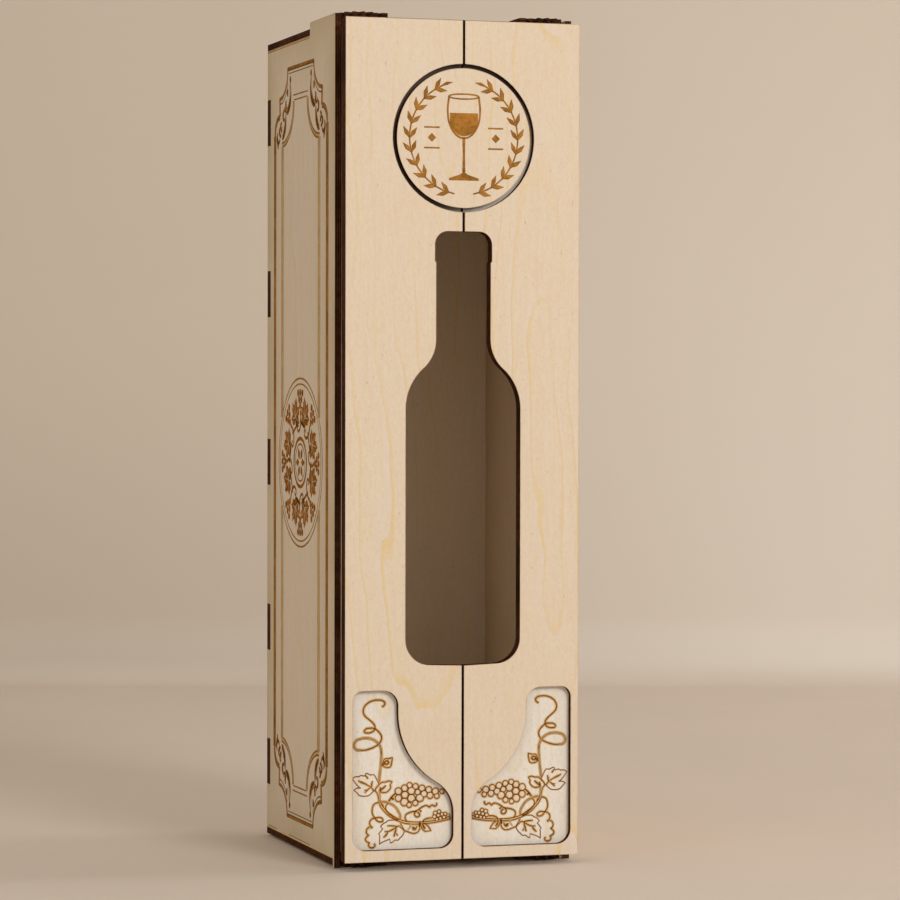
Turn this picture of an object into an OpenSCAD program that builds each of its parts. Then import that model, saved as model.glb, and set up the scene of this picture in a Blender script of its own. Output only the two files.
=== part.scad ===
// Upright wine box in laser-cut plywood. Two doors, each of two layers, swing on geared hinges
// at the top and the bottom, and a sliding double rack at each end makes them open together.

/* [Case] */
// Thickness of every plywood sheet
ply = 3; // [2.8:0.1:3.2]
// Width across the outer faces of the two sides
case_w = 111.8; // [108:0.2:124]
// Depth of a side panel, from its front edge to its back edge
side_d = 121.5; // [112:0.5:140]
// Length of the raised ear at the top front corner of a side
ear_len = 43.5; // [43:0.5:50]
// Radius of the ear's upper rear corner
ear_corner_r = 1.5; // [0.5:0.1:2.5]
// Length of the small toe at the bottom front corner of a side
toe_len = 2.2; // [2:0.1:4]
// Gap between the underside of the base plate and the table
base_lift = 1; // [0.8:0.1:1.6]
// Length of each tab on the back panels
tab_len = 22; // [15:1:26]
// Heights of the back tabs' centres, as shares of the doors' height
tab_shares = [0.085, 0.257, 0.468, 0.682, 0.9];

/* [Doors] */
// Height of the two doors
door_h = 376.5; // [372:0.5:400]
// Gap between the two doors
door_gap = 1.1; // [0.8:0.1:2]
// How far the doors' outer edges stay inside the sides' outer faces
door_reveal = 0.9; // [0.6:0.1:1.4]
// Free space between the doors and the front edges of the sides
front_space = 8.5; // [8.3:0.1:9.5]
// How far the doors open
open_angle = 90; // [60:1:90]

/* [Medallion] */
// Radius of the round recess in the front layers
recess_r = 33.2; // [30:0.2:36]
// Ring-shaped gap around the medallion
recess_gap = 1.9; // [1.5:0.1:3]
// Distance from the doors' upper edge down to the medallion's centre
medallion_drop = 52.7; // [50:0.1:56]

/* [Bottle window] */
// Height of the window's lower edge above the doors' lower edge
window_z = 87; // [84:0.2:90]
// Height of the window
window_h = 195; // [190:0.2:197]
// Height of the window's straight-sided body, with its foot
window_body_h = 115.4; // [106:0.2:118]
// Height of the shoulder, up to where the neck is straight
window_shoulder_h = 31.2; // [30:0.2:38]
// Half of the window's width across the body
window_body_r = 27; // [24:0.5:30]
// Half of the window's width across the neck
window_neck_r = 12.8; // [11:0.2:15]
// Corner radius at the foot of the window
window_foot_r = 11.5; // [8:0.5:14]
// Radius of the shoulder
window_shoulder_r = 24; // [22:0.5:28]

/* [Vine windows] */
// Width of the frame left below and beside each vine window
vine_frame = 3.6; // [3:0.1:5]
// Height of each vine window
vine_h = 71.5; // [68:0.5:74]
// Width of each vine window's narrow upper part
vine_neck_w = 21.2; // [18:0.2:24]
// Gap between each vine window and the middle of the doors
vine_mid = 4.3; // [3:0.1:6]
// Height of the lower sweep's centre above the window's lower edge
vine_sweep_z = 16; // [14:0.1:20]
// Height above the window's lower edge where the narrow part becomes straight
vine_neck_z = 61.3; // [56:0.1:63]

/* [Hinge gears] */
// Number of teeth on each hinge gear
gear_teeth = 12; // [12:4:16]
// Radius of a hinge gear over its teeth
gear_tip_r = 9; // [8.4:0.1:9.2]
// Radius of a hinge pin
pin_r = 2.5; // [2:0.1:2.8]
// Thickness of the washers under the gears and the racks
washer_t = 0.7; // [0.5:0.1:0.7]

/* [Hidden] */
$fn = 64;

// Overlap that makes joined shapes one, and makes cuts run past a face
overlap = 1;

// Colours of the wood and the small parts
BIRCH = "burlywood";
PALE_BIRCH = "antiquewhite";
BURNT = "saddlebrown";
DOWEL = "tan";
CARD = "dimgray";

// Levels above the table
base_top = base_lift + ply;             // underside of the floor plate and of the doors
case_top = base_top + door_h;           // upper face of the top plate and of the doors
mid_z = (base_top + case_top) / 2;      // plane between the two mirrored mechanisms
ear_top = case_top + ply;

// Places from front to back
total_d = 2 * ply + front_space + side_d;
front_y = -total_d / 2;
door_back_y = front_y + 2 * ply;
side_front_y = door_back_y + front_space;
ear_back_y = side_front_y + ear_len;
back_y = total_d / 2;
cavity_back_y = back_y - 2 * ply;

// Places across the box
side_x = case_w / 2;
side_in_x = side_x - ply;
door_x = side_x - door_reveal;

// Hinge pins: the gear just clears the ear, and the door's back just clears the side's corner
gear_ear_gap = 0.3;
swing_gap = 0.4;
pin_x = side_in_x - gear_ear_gap - gear_tip_r;
corner_dx = side_x - pin_x;
edge_depth = 2 * ply + front_space;
swing_depth = 2 * ply + swing_gap;
pin_depth = (pow(corner_dx, 2) + pow(edge_depth, 2) - pow(swing_depth, 2))
    / (2 * (edge_depth - swing_depth));
pin_y = front_y + pin_depth;
run_gap = 0.06;

// Gear and rack teeth
pressure = 25;
module_mm = gear_tip_r / (gear_teeth / 2 + 1);
pitch_r = module_mm * gear_teeth / 2;
tooth_depth = 1.25;
rack_tip = 0.9;
root_r = pitch_r - tooth_depth * module_mm;
base_r = pitch_r * cos(pressure);
tooth_pitch = PI * module_mm;
backlash = 0.3;
gear_z = case_top + washer_t;

// Hinge arms: their outer edge has to pass in front of the side's edge when a door is open
arm_play = 0.3;
arm_z = case_top - 2 * ply - arm_play;
arm_hub_r = 5.4;
arm_edge_gap = 0.7;
arm_in = pin_depth - edge_depth + arm_edge_gap;
arm_w = 8;
arm_tab = 2;
arm_tab_inset = 1.5;

// Sliding rack
rack_travel = pitch_r * PI * open_angle / 180;
rack_lead = 1.2;
rack_front = pin_y - rack_lead * tooth_pitch;
rack_line = pin_x - pitch_r;
rack_root = rack_line - tooth_depth * module_mm;
rack_rail_w = 3;
rack_play = 0.3;
bridge_gap = 3;
bridge_front = pin_y + gear_tip_r + bridge_gap;
wing_gap = 1.5;
wing_front = pin_y + gear_tip_r + wing_gap + rack_travel;
wing_w = 14.5;
rack_back = wing_front + wing_w;
guide_x = 20;
guide_r = 2;
guide_head_r = 3.4;
guide_head_t = 1;
guide_play = 0.1;
guide_head_play = 0.2;
guide_wall = 1.3;
guide_top = gear_z + ply - guide_play;
guide_y = rack_back - guide_wall - guide_head_play - guide_head_r - rack_travel;
washer_w = 2.4;

// An arc's points about centre c, from angle a to angle b
function arc(c, r, a, b, steps = 12) =
    [for (i = [0:steps]) c + r * [cos(a + (b - a) * i / steps), sin(a + (b - a) * i / steps)]];

// Angle to the point where two outside-tangent arcs meet
function bearing(from, to) = atan2(to[1] - from[1], to[0] - from[0]);

// ---- Flat outlines ----

// Plywood sheet standing in the X-Z plane with its front face at y
module sheet_y(y) translate([0, y + ply, 0]) rotate([90, 0, 0]) linear_extrude(ply) children();

// Plywood sheet standing in the Y-Z plane with its left face at x
module sheet_x(x) translate([x, 0, 0]) rotate([90, 0, 90]) linear_extrude(ply) children();

// Plywood sheet lying flat with its lower face at z
module sheet_z(z, t = ply) translate([0, 0, z]) linear_extrude(t) children();

// The mirrored place of a part of the upper mechanism at the lower end of the box
module at_bottom() translate([0, 0, 2 * mid_z]) mirror([0, 0, 1]) children();

module at_right() mirror([1, 0, 0]) children();

// Right half of the bottle-shaped window: foot, body, shoulder, neck and lip
shoulder_c = [window_body_r - window_shoulder_r, window_z + window_body_h];
neck_dx = window_neck_r - shoulder_c[0];
neck_blend_r = (pow(neck_dx, 2) + pow(window_shoulder_h, 2) - pow(window_shoulder_r, 2))
    / (2 * (window_shoulder_r - neck_dx));
neck_c = [window_neck_r + neck_blend_r, shoulder_c[1] + window_shoulder_h];
shoulder_turn = bearing(shoulder_c, neck_c);
lip_step = 0.6;
lip_h = 13.4;
lip_r = window_neck_r + lip_step;
lip_corner_r = 6;
window_top_z = window_z + window_h;
lip_z = window_top_z - lip_h;
foot_sag = 0.6;
foot_c = [window_body_r - window_foot_r, window_z + window_foot_r + foot_sag];

module bottle_window() {
    half = concat(
        [[0, window_z], [foot_c[0], window_z + foot_sag]],
        arc(foot_c, window_foot_r, -90, 0),
        arc(shoulder_c, window_shoulder_r, 0, shoulder_turn),
        arc(neck_c, neck_blend_r, shoulder_turn - 180, -180),
        [[window_neck_r, lip_z - lip_step], [lip_r, lip_z]],
        arc([lip_r - lip_corner_r, window_top_z - lip_corner_r], lip_corner_r, 0, 90),
        [[0, window_top_z]]);
    translate([0, base_top]) {
        polygon(half);
        mirror([1, 0]) polygon(half);
    }
}

// Vine window of the left door: a narrow upper part that widens below in one S-shaped sweep
vine_foot_rise = 1.5;
vine_low_r = 16;
vine_left = door_x - vine_frame;
vine_bottom = vine_frame + vine_foot_rise;
vine_top = vine_bottom + vine_h;
vine_neck = vine_left - vine_neck_w;
vine_low_c = [-(vine_mid + vine_low_r), vine_bottom + vine_sweep_z];
sweep_dx = vine_neck + vine_low_c[0];
sweep_dz = vine_neck_z - vine_sweep_z;
sweep_r = (pow(sweep_dx, 2) + pow(sweep_dz, 2) - pow(vine_low_r, 2)) / (2 * (vine_low_r + sweep_dx));
sweep_c = [sweep_r - vine_neck, vine_bottom + vine_neck_z];
sweep_turn = bearing(vine_low_c, sweep_c);
vine_foot_r = 6.4;
vine_top_r = 4.7;
vine_cap_r = 7;

module vine_window() {
    translate([0, base_top]) polygon(concat(
        arc([-vine_left + vine_foot_r, vine_bottom + vine_foot_r], vine_foot_r, 180, 270),
        arc([-vine_mid - vine_foot_r, vine_bottom + vine_foot_r], vine_foot_r, 270, 360),
        arc(vine_low_c, vine_low_r, 0, sweep_turn),
        arc(sweep_c, sweep_r, sweep_turn + 180, 180),
        arc([-vine_neck - vine_cap_r, vine_top - vine_cap_r], vine_cap_r, 0, 90),
        arc([-vine_left + vine_top_r, vine_top - vine_top_r], vine_top_r, 90, 180)));
}

// Outer shape of the left door
module door_blank() {
    translate([-door_x, base_top]) square([door_x - door_gap / 2, door_h]);
}

module recess_outline(r) translate([0, case_top - medallion_drop]) circle(r);

// Involute gear outline with a tooth pointing along +X
function involute_angle(r) = let(t = sqrt(pow(r / base_r, 2) - 1)) t * 180 / PI - atan(t);

module gear_outline() {
    flank_steps = 4;
    half_tooth = 90 / gear_teeth - backlash / 4 / pitch_r * 180 / PI;
    foot_angle = half_tooth + involute_angle(pitch_r);
    radii = [for (i = [0:flank_steps]) base_r + (gear_tip_r - base_r) * i / flank_steps];
    tooth = concat(
        [[root_r, -foot_angle]],
        [for (r = radii) [r, involute_angle(r) - foot_angle]],
        [for (i = [flank_steps:-1:0]) [radii[i], foot_angle - involute_angle(radii[i])]],
        [[root_r, foot_angle]]);
    polygon([for (k = [0:gear_teeth - 1], p = tooth)
        p[0] * [cos(p[1] + k * 360 / gear_teeth), sin(p[1] + k * 360 / gear_teeth)]]);
}

// One rail of the rack with its teeth towards +X, a gap between teeth level with the gear
module rack_rail() {
    tip = rack_line + rack_tip * module_mm;
    half_root = tooth_pitch / 4 - backlash / 4 + tooth_depth * module_mm * tan(pressure);
    half_tip = tooth_pitch / 4 - backlash / 4 - rack_tip * module_mm * tan(pressure);
    count = ceil(rack_travel / tooth_pitch) + 2;
    translate([rack_root - rack_rail_w, rack_front])
        square([rack_rail_w, wing_front - rack_front + overlap]);
    for (k = [0:count - 1]) translate([0, pin_y + (k - 0.5) * tooth_pitch])
        polygon([[rack_root - overlap, -half_root], [rack_root, -half_root], [tip, -half_tip],
            [tip, half_tip], [rack_root, half_root], [rack_root - overlap, half_root]]);
}

// Slot for a guide pin, as long as the rack's travel
module guide_slot(r) {
    for (s = [-1, 1]) translate([s * guide_x, 0]) {
        translate([0, guide_y]) circle(r);
        translate([0, guide_y + rack_travel]) circle(r);
        translate([-r, guide_y]) square([2 * r, rack_travel]);
    }
}

// ---- Case ----

module side_panel() {
    sheet_x(-side_x) difference() {
        union() {
            translate([side_front_y, base_top]) square([side_d, door_h - ply]);
            translate([side_front_y, base_top]) square([ear_len, ear_top - ear_corner_r - base_top]);
            translate([side_front_y, base_top]) square([ear_len - ear_corner_r, ear_top - base_top]);
            translate([ear_back_y - ear_corner_r, ear_top - ear_corner_r]) circle(ear_corner_r);
            translate([side_front_y, 0]) square([toe_len, base_top + overlap]);
        }
        for (share = tab_shares) translate([cavity_back_y, base_top + share * door_h - tab_len / 2])
            square([2 * ply + overlap, tab_len]);
    }
}

module left_side() color(BIRCH) side_panel();
module right_side() color(BIRCH) at_right() side_panel();

module back_sheet(y) {
    sheet_y(y) {
        translate([-side_in_x, base_top]) square([2 * side_in_x, door_h - ply]);
        for (share = tab_shares) translate([-side_x, base_top + share * door_h - tab_len / 2])
            square([case_w, tab_len]);
    }
}

module back_inner_panel() color(BIRCH) back_sheet(cavity_back_y);

// The outer back sheet runs down behind the base plate and is the rear foot
module back_outer_panel() {
    color(BIRCH) {
        back_sheet(back_y - ply);
        sheet_y(back_y - ply) translate([-side_in_x, 0]) square([2 * side_in_x, base_top + overlap]);
    }
}

module top_plate() {
    color(BIRCH) sheet_z(case_top - ply) difference() {
        union() {
            translate([-side_in_x, side_front_y]) square([2 * side_in_x, side_d]);
            translate([-side_x, ear_back_y]) square([case_w, back_y - ear_back_y]);
        }
        pin_holes();
    }
}

// Holes for the hinge pins, which turn, and for the guide pins, which are glued in
module pin_holes() {
    for (s = [-1, 1]) {
        translate([s * pin_x, pin_y]) circle(pin_r + run_gap);
        translate([s * guide_x, guide_y]) circle(guide_r);
    }
}

module floor_plate() {
    color(BIRCH) sheet_z(base_top) difference() {
        translate([-side_in_x, side_front_y]) square([2 * side_in_x, cavity_back_y - side_front_y]);
        pin_holes();
    }
}

// The base plate is open at the front, where the lower gears and the lower rack run
module base_plate() {
    color(BURNT) sheet_z(base_lift) difference() {
        translate([-side_x, side_front_y + toe_len])
            square([case_w, back_y - side_front_y - toe_len]);
        translate([-side_in_x, side_front_y]) square([2 * side_in_x, ear_len]);
        translate([-side_in_x, back_y - ply]) square([2 * side_in_x, ply + overlap]);
    }
}

// ---- Doors ----

module door_front() {
    sheet_y(front_y) difference() {
        door_blank();
        recess_outline(recess_r);
        bottle_window();
        vine_window();
    }
}

module door_back() {
    difference() {
        sheet_y(front_y + ply) difference() {
            door_blank();
            bottle_window();
        }
        arm_pocket();
        at_bottom() arm_pocket();
    }
}

// Shallow pocket that takes an arm's tab
module arm_pocket() sheet_z(arm_z) arm_tab_outline();

module arm_tab_outline() {
    translate([-pin_x + arm_in + arm_tab_inset, door_back_y - arm_tab])
        square([arm_w - 2 * arm_tab_inset, arm_tab + overlap]);
}

module left_door_front() color(BIRCH) door_front();
module left_door_back() color(PALE_BIRCH) door_back();
module right_door_front() color(BIRCH) at_right() door_front();
module right_door_back() color(PALE_BIRCH) at_right() door_back();

// The medallion is glued to the left door and laps over the right one
module medallion() color(BIRCH) sheet_y(front_y) recess_outline(recess_r - recess_gap);

// ---- Hinge arms, pins, gears and washers ----

// The arm reaches from the hinge pin inwards, then forwards to the back of the door
module hinge_arm() {
    sheet_z(arm_z) difference() {
        union() {
            translate([-pin_x, pin_y]) circle(arm_hub_r);
            translate([-pin_x, pin_y - arm_hub_r]) square([arm_in + arm_w, 2 * arm_hub_r]);
            translate([-pin_x + arm_in, door_back_y]) square([arm_w, pin_y - door_back_y]);
            arm_tab_outline();
        }
        translate([-pin_x, pin_y]) circle(pin_r);
    }
}

module hinge_pin() translate([-pin_x, pin_y, arm_z]) cylinder(r = pin_r, h = gear_z + ply - arm_z);

module hinge_gear() {
    sheet_z(gear_z) translate([-pin_x, pin_y]) difference() {
        gear_outline();
        circle(pin_r);
    }
}

module ring(x, y, r) {
    translate([x, y]) difference() {
        circle(r + washer_w);
        circle(r + run_gap);
    }
}

module hinge_washer() sheet_z(case_top, washer_t) ring(-pin_x, pin_y, pin_r);

module left_top_arm() color(BIRCH) hinge_arm();
module left_bottom_arm() color(BIRCH) at_bottom() hinge_arm();
module right_top_arm() color(BIRCH) at_right() hinge_arm();
module right_bottom_arm() color(BIRCH) at_right() at_bottom() hinge_arm();

module left_top_pin() color(DOWEL) hinge_pin();
module left_bottom_pin() color(DOWEL) at_bottom() hinge_pin();
module right_top_pin() color(DOWEL) at_right() hinge_pin();
module right_bottom_pin() color(DOWEL) at_right() at_bottom() hinge_pin();

module left_top_gear() color(BURNT) hinge_gear();
module left_bottom_gear() color(BURNT) at_bottom() hinge_gear();
module right_top_gear() color(BURNT) at_right() hinge_gear();
module right_bottom_gear() color(BURNT) at_right() at_bottom() hinge_gear();

module left_top_washer() color(CARD) hinge_washer();
module left_bottom_washer() color(CARD) at_bottom() hinge_washer();
module right_top_washer() color(CARD) at_right() hinge_washer();
module right_bottom_washer() color(CARD) at_right() at_bottom() hinge_washer();

// ---- Racks that join the doors' motion ----

// A rail along each gear, a bridge with the guide slots, and wings that run between the ears
module rack_plate() {
    difference() {
        sheet_z(gear_z) difference() {
            union() {
                rack_rail();
                mirror([1, 0]) rack_rail();
                translate([-rack_root, bridge_front]) square([2 * rack_root, rack_back - bridge_front]);
                translate([rack_play - side_in_x, wing_front])
                    square([2 * (side_in_x - rack_play), rack_back - wing_front]);
            }
            guide_slot(guide_r + guide_play);
        }
        sheet_z(gear_z + ply - guide_head_t - guide_head_play) guide_slot(guide_head_r + guide_head_play);
    }
}

module guide_pins() {
    for (s = [-1, 1]) translate([s * guide_x, guide_y, 0]) {
        translate([0, 0, case_top - ply]) cylinder(r = guide_r, h = guide_top - case_top + ply);
        translate([0, 0, guide_top - guide_head_t]) cylinder(r = guide_head_r, h = guide_head_t);
    }
}

module rack_washers() {
    sheet_z(case_top, washer_t) for (s = [-1, 1]) translate([s * guide_x, guide_y]) difference() {
        circle(guide_r + washer_w);
        circle(guide_r);
    }
}

module top_rack() color(BURNT) rack_plate();
module bottom_rack() color(BURNT) at_bottom() rack_plate();
module top_rack_washers() color(CARD) rack_washers();
module bottom_rack_washers() color(CARD) at_bottom() rack_washers();
module top_guide_pins() color(DOWEL) guide_pins();
module bottom_guide_pins() color(DOWEL) at_bottom() guide_pins();

left_side();
right_side();
back_outer_panel();
back_inner_panel();
top_plate();
floor_plate();
base_plate();
left_door_front();
left_door_back();
right_door_front();
right_door_back();
medallion();
left_top_arm();
left_bottom_arm();
right_top_arm();
right_bottom_arm();
left_top_pin();
left_bottom_pin();
right_top_pin();
right_bottom_pin();
left_top_gear();
left_bottom_gear();
right_top_gear();
right_bottom_gear();
left_top_washer();
left_bottom_washer();
right_top_washer();
right_bottom_washer();
top_rack();
bottom_rack();
top_rack_washers();
bottom_rack_washers();
top_guide_pins();
bottom_guide_pins();
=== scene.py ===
import math
from functools import cache

import bmesh
import bpy
from bpy.props import FloatProperty, FloatVectorProperty, IntProperty, PointerProperty
from mathutils import Matrix, Vector


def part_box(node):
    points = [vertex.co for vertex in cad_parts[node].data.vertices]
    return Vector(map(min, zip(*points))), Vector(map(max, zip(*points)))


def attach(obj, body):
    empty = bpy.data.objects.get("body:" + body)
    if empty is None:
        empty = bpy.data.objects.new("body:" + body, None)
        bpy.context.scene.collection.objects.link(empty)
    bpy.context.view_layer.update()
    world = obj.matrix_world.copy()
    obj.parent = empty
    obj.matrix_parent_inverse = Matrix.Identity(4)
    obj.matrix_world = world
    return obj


bl_info = {
    "name": "Bottle Box Looks",
    "version": (1, 0, 0),
    "blender": (4, 5, 0),
    "location": "View3D > Sidebar > Bottle Box",
    "description": "Plywood finish, laser engraving and studio for a bottle box with geared doors",
    "category": "Object",
}

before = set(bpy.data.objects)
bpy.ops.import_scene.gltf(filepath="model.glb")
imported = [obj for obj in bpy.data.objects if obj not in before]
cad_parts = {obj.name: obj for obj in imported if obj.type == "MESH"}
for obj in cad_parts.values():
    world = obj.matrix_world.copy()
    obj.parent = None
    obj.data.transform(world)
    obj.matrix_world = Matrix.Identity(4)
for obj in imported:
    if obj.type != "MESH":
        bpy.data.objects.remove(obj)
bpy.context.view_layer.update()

MM = 0.001


# ---------------------------------------------------------------- sizes and colours


class PlywoodSettings(bpy.types.PropertyGroup):
    """Colours and scale of the birch plywood."""

    birch: FloatVectorProperty(
        name="Birch", description="Face veneer", subtype="COLOR", default=(0.80, 0.672, 0.528)
    )
    pale_birch: FloatVectorProperty(
        name="Pale birch", description="Face veneer of the door linings", subtype="COLOR",
        default=(0.90, 0.85, 0.77),
    )
    grain_gold: FloatVectorProperty(
        name="Growth lines", description="Golden late wood of a growth line", subtype="COLOR",
        default=(0.80, 0.60, 0.28),
    )
    grain_pale: FloatVectorProperty(
        name="Early wood", description="Cool pale streak after a growth line", subtype="COLOR",
        default=(0.80, 0.70, 0.63),
    )
    grain_dark: FloatVectorProperty(
        name="Pores", description="Pores and short fibres", subtype="COLOR", default=(0.66, 0.47, 0.29)
    )
    # Char also darkens the ring of painted shade in the linings
    char: FloatVectorProperty(
        name="Char", description="Laser-burnt edge", subtype="COLOR", default=(0.0225, 0.0082, 0.0038)
    )
    char_warm: FloatVectorProperty(
        name="Warm char", description="Half-burnt plies in the edge", subtype="COLOR",
        default=(0.185, 0.062, 0.024),
    )
    smoke: FloatVectorProperty(
        name="Smoke haze", description="Veneer yellowed by smoke near a cut", subtype="COLOR",
        default=(0.56, 0.43, 0.25),
    )
    side_haze: FloatProperty(
        name="Haze on the sides", description="Strength of the smoke haze on the side panels",
        subtype="FACTOR", default=0.8, min=0, max=1,
    )
    haze_reach: FloatProperty(
        name="Haze reach", description="How far the smoke haze reaches in from an edge",
        subtype="DISTANCE", default=40 * MM,
    )
    rim: FloatProperty(
        name="Scorched rim", description="Width of the scorched rim along a cut", subtype="DISTANCE",
        default=0.7 * MM,
    )
    ply: FloatProperty(
        name="Sheet thickness", description="Thickness of one plywood sheet", subtype="DISTANCE",
        default=3 * MM,
    )


class EngravingSettings(bpy.types.PropertyGroup):
    """Colours and depth of the engraved lines."""

    amber: FloatVectorProperty(
        name="Amber line", description="Lightly burnt line", subtype="COLOR",
        default=(0.37, 0.162, 0.029),
    )
    umber: FloatVectorProperty(
        name="Umber line", description="Deeply burnt line", subtype="COLOR",
        default=(0.130, 0.050, 0.009),
    )
    russet: FloatVectorProperty(
        name="Russet line", description="Stems, tendrils and veins of the vine", subtype="COLOR",
        default=(0.245, 0.070, 0.003),
    )
    deep: FloatVectorProperty(
        name="Filled engraving", description="Leaves, berries and stems of the sides' wreath",
        subtype="COLOR", default=(0.305, 0.112, 0.009),
    )
    glow: FloatVectorProperty(
        name="Scorch glow", description="Golden scorch beside a line", subtype="COLOR",
        default=(0.80, 0.56, 0.25),
    )
    honey: FloatVectorProperty(
        name="Honey band", description="Broad faint bands and the bodies of the grapes",
        subtype="COLOR", default=(0.60, 0.385, 0.18),
    )
    relief: FloatProperty(
        name="Relief", description="Height of an amber line, in millimetres",
        default=0.022, min=0.005, max=0.3,
    )
    line: FloatProperty(
        name="Line width", description="Width of a plain engraved line, in millimetres",
        default=0.68, min=0.2, max=2,
    )
    wreath_leaves: IntProperty(
        name="Wreath leaves", description="Leaves round the sides' medallions",
        default=8, min=5, max=12,
    )


class StageSettings(bpy.types.PropertyGroup):
    """Floor, backdrop, light and camera."""

    floor_tone: FloatVectorProperty(
        name="Floor", description="Colour of the floor", subtype="COLOR", default=(0.72, 0.61, 0.515)
    )
    # The backdrop's two colours are its painted shade and painted light
    wall_tone: FloatVectorProperty(
        name="Wall", description="Colour of the backdrop on its dim side", subtype="COLOR",
        default=(0.685, 0.582, 0.470),
    )
    wall_bright: FloatVectorProperty(
        name="Bright wall", description="Colour of the backdrop on its bright side", subtype="COLOR",
        default=(0.79, 0.71, 0.62),
    )
    key_power: FloatProperty(
        name="Key light", description="Power of the key light, in watts", default=17.6
    )
    window_power: FloatProperty(
        name="Window light", description="Power of the lamp on the right, in watts", default=15.0
    )
    fill_power: FloatProperty(
        name="Fill light", description="Power of the fill light, in watts", default=3.8
    )
    lens: FloatProperty(
        name="Lens", description="Focal length of the camera, in millimetres", default=137.415
    )


# ---------------------------------------------------------------- shader building blocks


class Tree:
    """A node tree with short calls to add and join its nodes."""

    def __init__(self, tree):
        self.tree = tree

    def add(self, kind, values=None, **settings):
        made = self.tree.nodes.new(kind)
        for name, value in settings.items():
            setattr(made, name, value)
        for key, value in (values or {}).items():
            self.feed(made.inputs[key], value)
        return made

    def feed(self, socket, value):
        if isinstance(value, bpy.types.NodeSocket):
            self.tree.links.new(value, socket)
        else:
            socket.default_value = value

    def group(self, shared, **values):
        """A shared group with its own values; returns its outputs."""
        return self.add("ShaderNodeGroup", values, node_tree=shared).outputs

    def math(self, operation, a, b=0.0, clamp=False):
        made = self.add("ShaderNodeMath", {0: a, 1: b}, operation=operation, use_clamp=clamp)
        return made.outputs[0]

    def plus(self, a, b):
        return self.math("ADD", a, b)

    def times(self, a, b):
        return self.math("MULTIPLY", a, b)

    def vector(self, operation, a, b=(0.0, 0.0, 0.0)):
        made = self.add("ShaderNodeVectorMath", {0: a, 1: b}, operation=operation)
        return made.outputs["Value" if operation in ("DOT_PRODUCT", "LENGTH") else "Vector"]

    def scaled(self, vector, scale, turn=(0.0, 0.0, 0.0)):
        made = self.add("ShaderNodeMapping", {"Vector": vector, "Rotation": turn, "Scale": scale})
        return made.outputs[0]

    def split(self, vector):
        return self.add("ShaderNodeSeparateXYZ", {0: vector}).outputs

    def mix(self, factor, a, b):
        made = self.add("ShaderNodeMix", data_type="RGBA")
        for socket, value in (("Factor", factor), (6, a), (7, b)):
            self.feed(made.inputs[socket], value)
        return made.outputs[2]

    def span(self, value, low, high, to_low=0.0, to_high=1.0):
        made = self.add(
            "ShaderNodeMapRange",
            {"Value": value, "From Min": low, "From Max": high, "To Min": to_low, "To Max": to_high},
            interpolation_type="SMOOTHSTEP",
        )
        return made.outputs[0]

    def noise(self, vector, scale, detail=2.0, roughness=0.5, distortion=0.0, output="Fac"):
        values = {"Vector": vector, "Scale": scale, "Detail": detail, "Roughness": roughness}
        made = self.add("ShaderNodeTexNoise", {**values, "Distortion": distortion})
        return made.outputs[output]

    def bump(self, height, strength, distance):
        values = {"Strength": strength, "Distance": distance, "Height": height}
        return self.add("ShaderNodeBump", values).outputs[0]


FLOAT = "NodeSocketFloat"
VECTOR = "NodeSocketVector"


def new_group(name, inputs, outputs):
    """A shader node group with its sockets; returns the group, its Tree, what is given and its results."""
    group = bpy.data.node_groups.new(name, "ShaderNodeTree")
    for socket, (kind, default) in inputs.items():
        made = group.interface.new_socket(socket, in_out="INPUT", socket_type=kind)
        if default is not None:
            made.default_value = default
    for socket in outputs:
        group.interface.new_socket(socket, in_out="OUTPUT", socket_type=FLOAT)
    tree = Tree(group)
    return group, tree, tree.add("NodeGroupInput").outputs, tree.add("NodeGroupOutput").inputs


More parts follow.
